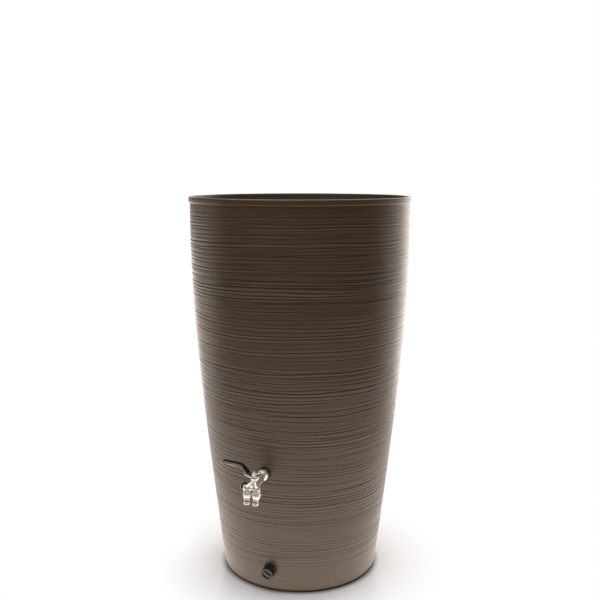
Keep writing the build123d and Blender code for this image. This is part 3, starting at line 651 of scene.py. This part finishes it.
def barrel_shell():
    """The moulded shell as one closed mesh, with its grooves cut in and flat seats."""
    rng = random.Random(SEED)
    angles = column_angles()
    base, wall, top, inside = shell_sections()
    curves, z = wall_grid(rng, angles, wall)
    push, deep, lip_highlight = groove_field(rng, angles, curves, z)
    clear = near_seat(wall_radius(z) * np.cos(angles), wall_radius(z) * np.sin(angles), z)
    outer = ring_points(wall_radius(z) + push * clear, z, angles)
    outer = flatten_seats(outer.reshape(-1, 3), True).reshape(outer.shape)
    inner = section_points(inside, angles)
    inner = flatten_seats(inner.reshape(-1, 3), False).reshape(inner.shape)
    below, above = section_points(base, angles), section_points(top, angles)
    rings = np.concatenate([below, outer, above, inner])
    count, turn = rings.shape[:2]
    verts = [*rings.reshape(-1, 3), (0, 0, 0), (0, 0, FLOOR_THICK)]
    faces = []
    for i in range(count - 1):
        for j in range(turn):
            k = (j + 1) % turn
            faces.append((i * turn + j, i * turn + k, (i + 1) * turn + k, (i + 1) * turn + j))
    last = (count - 1) * turn
    faces += [(count * turn, (j + 1) % turn, j) for j in range(turn)]
    faces += [(count * turn + 1, last + j, last + (j + 1) % turn) for j in range(turn)]
    shell = mesh_object("barrel_shell", verts, faces, "barrel",
                        MATERIALS["barrel_plastic"], ("barrel_body",))
    # The groove and lip masks are stored as attributes; the material paints shade in the grooves
    # and a highlight on the lips
    start = len(base) * turn
    for name, field in (("groove", deep), ("lip", lip_highlight)):
        values = np.zeros(len(verts), np.float32)
        values[start:start + field.size] = (field * clear).reshape(-1)
        shell.data.attributes.new(name, "FLOAT", "POINT").data.foreach_set("value", values)


# ---------------------------------------------------------------- tap

def tap_point(across, up, out):
    """World place of a point in the tap's millimetres: across, up the wall, out from its seat."""
    centre, outward = seat_frame(FITTINGS[0][0], -1)
    upward = np.array((0.0, outward[2], -outward[1]))
    return centre + (np.array((1.0, 0, 0)) * across + upward * up + outward * out) * MM


def rod(p, start, end, radius, rounding=0.0):
    """Distance to a flat-ended rod with rounded edges."""
    start, end = np.array(start, float), np.array(end, float)
    length = np.linalg.norm(end - start)
    along = (p - start) @ ((end - start) / length)
    radial = np.sqrt(np.maximum(((p - start) ** 2).sum(-1) - along ** 2, 0.0))
    a = radial - radius + rounding
    b = np.abs(along - length / 2) - length / 2 + rounding
    return np.minimum(np.maximum(a, b), 0) + np.hypot(np.maximum(a, 0), np.maximum(b, 0)) - rounding


def teardrop(p, start, end, start_radius, end_radius):
    """Distance to two balls joined by a smooth taper."""
    start, end = np.array(start, float), np.array(end, float)
    axis = end - start
    share = np.clip((p - start) @ axis / (axis @ axis), 0, 1)
    gap = p - start - share[..., None] * axis
    return np.sqrt((gap ** 2).sum(-1)) - (start_radius + (end_radius - start_radius) * share)


def melt(a, b, blend):
    """Union of two distances with a rounded inside corner, as a casting has."""
    share = np.clip(0.5 + 0.5 * (b - a) / blend, 0, 1)
    return b + (a - b) * share - blend * share * (1 - share)


def tap_distance(p):
    """Distance to the tap body: ball housing, spindle boss, side boss and two leaning lobes, less
    the passages."""
    ball, left, right = (0, 0, BALL_AT), (-BRANCH_SPREAD, *BRANCH), (BRANCH_SPREAD, *BRANCH)
    body = rod(p, (0, 0, WRENCH_END), (0, 0, HOUSING_END), HOUSING, HOUSING_EDGE)
    body = melt(body, rod(p, ball, (0, BONNET_TOP, BALL_AT), BONNET_BOSS, BOSS_EDGE), CASTING)
    body = melt(body, rod(p, left, right, BRIDGE, BRIDGE_EDGE), CASTING)
    body = melt(body, rod(p, left, (-PLUG_OUTER, *BRANCH), SIDE_BOSS, BOSS_EDGE), SIDE_CASTING)
    lean = math.radians(OUTLET_LEAN)
    down = np.array((0, -math.cos(lean), math.sin(lean)))
    for side in (-1, 1):
        top = np.array((side * BRANCH_SPREAD, *BRANCH))
        shoulder = (side * SHOULDER[0], SHOULDER[1], SHOULDER[2])
        lobe = teardrop(p, shoulder, top, SHOULDER_ROUND, LOBE)
        neck = rod(p, top, top + down * OUTLET_SHOULDER, LOBE, LOBE_EDGE)
        body = melt(body, melt(lobe, neck, LOBE_CASTING), CASTING)
        thread = rod(p, top, top + down * OUTLET_END, OUTLET_THREAD, THREAD_EDGE)
        body = np.minimum(body, thread)
        body = np.maximum(body, -rod(p, top, top + down * (OUTLET_END + PAST), BRANCH_BORE))
    way = BRANCH[0] + BALL_WAY
    for start, end, radius in (
        ((0, 0, WRENCH_END - PAST), (0, 0, SPIGOT_END), SPIGOT),
        ((0, 0, SPIGOT_END - 1), (0, 0, CAVITY_END), CAVITY),
        ((0, way, CAVITY_END - 1), (0, way, BRANCH[1]), BRANCH_BORE),
        (left, right, BRANCH_BORE),
        ((-PLUG_INNER, *BRANCH), (-PLUG_OUTER - PAST, *BRANCH), PLUG_BORE),
        (ball, (0, BONNET_TOP + PAST, BALL_AT), STEM_BORE),
        ((0, PACKING_FLOOR, BALL_AT), (0, BONNET_TOP + PAST, BALL_AT), PACKING_BORE),
    ):
        body = np.maximum(body, -rod(p, start, end, radius))
    return body


def surface_net(field, low, step):
    """Closed quad mesh of the zero surface of a sampled distance field."""
    inside = field < 0
    shape = np.array(field.shape) - 1
    total = np.zeros((*shape, 3))
    hits = np.zeros(tuple(shape))
    for axis in range(3):
        others = [k for k in range(3) if k != axis]
        for first in (0, 1):
            for second in (0, 1):
                window = [slice(0, n) for n in shape]
                window[others[0]] = slice(first, first + shape[others[0]])
                window[others[1]] = slice(second, second + shape[others[1]])
                ahead = list(window)
                ahead[axis] = slice(1, 1 + shape[axis])
                a, b = field[tuple(window)], field[tuple(ahead)]
                cross = (a < 0) != (b < 0)
                share = np.where(cross, a / np.where(cross, a - b, 1), 0)
                total[..., axis] += np.where(cross, share, 0)
                total[..., others[0]] += cross * first
                total[..., others[1]] += cross * second
                hits += cross
    cells = np.argwhere(hits > 0)
    number = -np.ones(tuple(shape), int)
    number[tuple(cells.T)] = np.arange(len(cells))
    verts = low + step * (cells + total[tuple(cells.T)] / hits[tuple(cells.T)][:, None])
    faces = []
    for axis in range(3):
        u, v = [(1, 2), (2, 0), (0, 1)][axis]
        window = [slice(1, n) for n in shape]
        window[axis] = slice(0, shape[axis])
        ahead = list(window)
        ahead[axis] = slice(1, 1 + shape[axis])
        near, far = inside[tuple(window)], inside[tuple(ahead)]
        offset = np.array([s.start for s in window])
        for wanted, order in ((near & ~far, (0, 1, 2, 3)), (~near & far, (3, 2, 1, 0))):
            edges = np.argwhere(wanted) + offset
            corner = []
            for du, dv in ((1, 1), (0, 1), (0, 0), (1, 0)):
                cell = edges.copy()
                cell[:, u] -= du
                cell[:, v] -= dv
                corner.append(number[tuple(cell.T)])
            quads = np.stack(corner, 1)[:, list(order)]
            faces += quads.tolist()
    return verts, faces


def tap_body():
    """The cast body, with blended junctions and every passage open."""
    low, high = np.array(TAP_BOX[0], float), np.array(TAP_BOX[1], float)
    count = ((high - low) / TAP_STEP).astype(int) + 1
    axes = [low[k] + TAP_STEP * np.arange(count[k]) for k in range(3)]
    grid = np.stack(np.meshgrid(*axes, indexing="ij"), -1)
    verts, faces = surface_net(tap_distance(grid), low, TAP_STEP)
    across, up, out = verts.T
    origin = tap_point(0, 0, 0)
    x_axis, y_axis, z_axis = [tap_point(*unit) - origin for unit in np.eye(3)]
    placed = origin + across[:, None] * x_axis + up[:, None] * y_axis + out[:, None] * z_axis
    mesh_object("tap_body", placed, faces, "barrel",
                MATERIALS["chromed_brass"], ("tap_manifold",))


def squared(x, power):
    """x from -1 to 1, pushed towards its ends, so that a round section fills its corners."""
    return math.copysign(abs(x) ** power, x)


def lever_grip():
    """Soft grip on the lever: a rounded section along a smoothly bent line, closed at its tip."""
    knots = [np.array(k, float) for k in GRIP_LINE]
    line = []
    for i in range(len(knots) - 1):
        a, b = knots[max(i - 1, 0)], knots[min(i + 2, len(knots) - 1)]
        for k in range(GRIP_STEPS):
            t = k / GRIP_STEPS
            line.append(0.5 * ((2 * knots[i]) + (knots[i + 1] - a) * t
                               + (2 * a - 5 * knots[i] + 4 * knots[i + 1] - b) * t ** 2
                               + (3 * knots[i] - a - 3 * knots[i + 1] + b) * t ** 3))
    line = np.array(line + [knots[-1]])
    travel = np.concatenate([[0], np.cumsum(np.linalg.norm(np.diff(line, axis=0), axis=1))])
    left = travel[-1] - travel
    tip = np.sqrt(np.clip(1 - np.clip(1 - left / GRIP_TIP, 0, 1) ** 2, 0.0, 1))
    mouth = 1 - GRIP_MOUTH + GRIP_MOUTH * smooth(travel / GRIP_MOUTH_LENGTH)
    turns = [2 * math.pi * k / GRIP_SIDES for k in range(GRIP_SIDES)]
    verts = []
    for i, (x, y) in enumerate(line):
        ahead = line[min(i + 1, len(line) - 1)] - line[max(i - 1, 0)]
        ahead /= np.linalg.norm(ahead)
        closing = max(tip[i], GRIP_LEAST)
        half_wide = GRIP_WIDE * mouth[i] * closing
        half_high = GRIP_THICK * mouth[i] * closing ** GRIP_TIP_THICKNESS
        for a in turns:
            wide = squared(math.cos(a), GRIP_SQUARENESS[0]) * half_wide
            high = squared(math.sin(a), GRIP_SQUARENESS[1]) * half_high
            up = LEVER_BASE + y - ahead[0] * high
            verts.append(tap_point(x + ahead[1] * high, up, BALL_AT + wide))
    n = GRIP_SIDES
    faces = [(i * n + k, i * n + (k + 1) % n, (i + 1) * n + (k + 1) % n, (i + 1) * n + k)
             for i in range(len(line) - 1) for k in range(n)]
    first, last = len(verts), len(verts) + 1
    verts += [tap_point(line[0][0], LEVER_BASE + line[0][1], BALL_AT),
              tap_point(line[-1][0], LEVER_BASE + line[-1][1], BALL_AT)]
    end = (len(line) - 1) * n
    faces += [(first, (k + 1) % n, k) for k in range(n)]
    faces += [(last, end + k, end + (k + 1) % n) for k in range(n)]
    mesh_object("lever_grip", verts, faces, "main_valve",
                MATERIALS["black_vinyl"], ("lever_sleeve",))


# ---------------------------------------------------------------- studio

def add_camera():
    data = bpy.data.cameras.new("camera")
    data.lens = CAMERA_LENS
    data.sensor_width = 36.0
    data.clip_end = 100.0
    camera = bpy.data.objects.new("camera", data)
    camera.location = around(CAMERA_AZIMUTH, CAMERA_DISTANCE, CAMERA_HEIGHT)
    camera.rotation_euler = (math.radians(90 - CAMERA_PITCH), 0, math.radians(CAMERA_AZIMUTH))
    bpy.context.scene.collection.objects.link(camera)
    bpy.context.scene.camera = camera


def add_light(name, place, target, size, power, colour):
    data = bpy.data.lights.new(name, "AREA")
    data.shape = "RECTANGLE"
    data.size, data.size_y = size
    data.energy = power
    data.color = colour
    light = bpy.data.objects.new(name, data)
    light.location = place
    aim = Vector(target) - Vector(place)
    light.rotation_euler = aim.to_track_quat("-Z", "Y").to_euler()
    bpy.context.scene.collection.objects.link(light)


def add_lights():
    """Two warm edge lights behind, a warm card high in front, and a wide soft top light."""
    for name, turn, distance, height, target, size, watts, colour in LIGHTS:
        place = around(CAMERA_AZIMUTH + turn, distance, height)
        add_light(name, place, (0, 0, target), size, watts, colour)
    add_light("top", (0, 0, TOP_HEIGHT), (0, 0, 0), (TOP_SIZE, TOP_SIZE), TOP_WATTS, WHITE)


def add_world():
    """White to the camera. A pale backdrop behind and a dimmer room in front light the barrel."""
    world = bpy.data.worlds.new("studio")
    world.use_nodes = True
    tree = world.node_tree
    room = next(n for n in tree.nodes if n.type == "BACKGROUND")
    where = tree.nodes.new("ShaderNodeTexCoord")
    facing = tree.nodes.new("ShaderNodeVectorMath")
    facing.operation = "DOT_PRODUCT"
    tree.links.new(where.outputs["Generated"], facing.inputs[0])
    facing.inputs[1].default_value = around(CAMERA_AZIMUTH + 180 - BACK_TURN, 1.0, 0.0)
    spread = tree.nodes.new("ShaderNodeMapRange")
    spread.interpolation_type = "SMOOTHSTEP"
    tree.links.new(facing.outputs["Value"], spread.inputs["Value"])
    for key, number in zip(RANGE_SOCKETS, (*BACK_EDGE, ROOM_FRONT, ROOM_BACK)):
        spread.inputs[key].default_value = number
    tree.links.new(spread.outputs["Result"], room.inputs["Strength"])
    seen = tree.nodes.new("ShaderNodeBackground")
    seen.inputs["Color"].default_value = (*WHITE, 1)
    room.inputs["Color"].default_value = (*WARM, 1)
    ray = tree.nodes.new("ShaderNodeLightPath")
    mix = tree.nodes.new("ShaderNodeMixShader")
    out = next(n for n in tree.nodes if n.type == "OUTPUT_WORLD")
    tree.links.new(ray.outputs["Is Camera Ray"], mix.inputs[0])
    tree.links.new(room.outputs[0], mix.inputs[1])
    tree.links.new(seen.outputs[0], mix.inputs[2])
    tree.links.new(mix.outputs[0], out.inputs["Surface"])
    bpy.context.scene.world = world


def add_floor():
    mesh = bpy.data.meshes.new("studio_floor")
    corners = [(x * FLOOR_HALF, y * FLOOR_HALF, 0) for x, y in ((-1, -1), (1, -1), (1, 1), (-1, 1))]
    mesh.from_pydata(corners, [], [(0, 1, 2, 3)])
    mesh.materials.append(studio_floor())
    floor = bpy.data.objects.new("studio_floor", mesh)
    bpy.context.scene.collection.objects.link(floor)


dress_cad_nodes()
barrel_shell()
tap_body()
lever_grip()
add_camera()
add_lights()
add_world()
add_floor()
bpy.context.scene.view_settings.view_transform = "Standard"
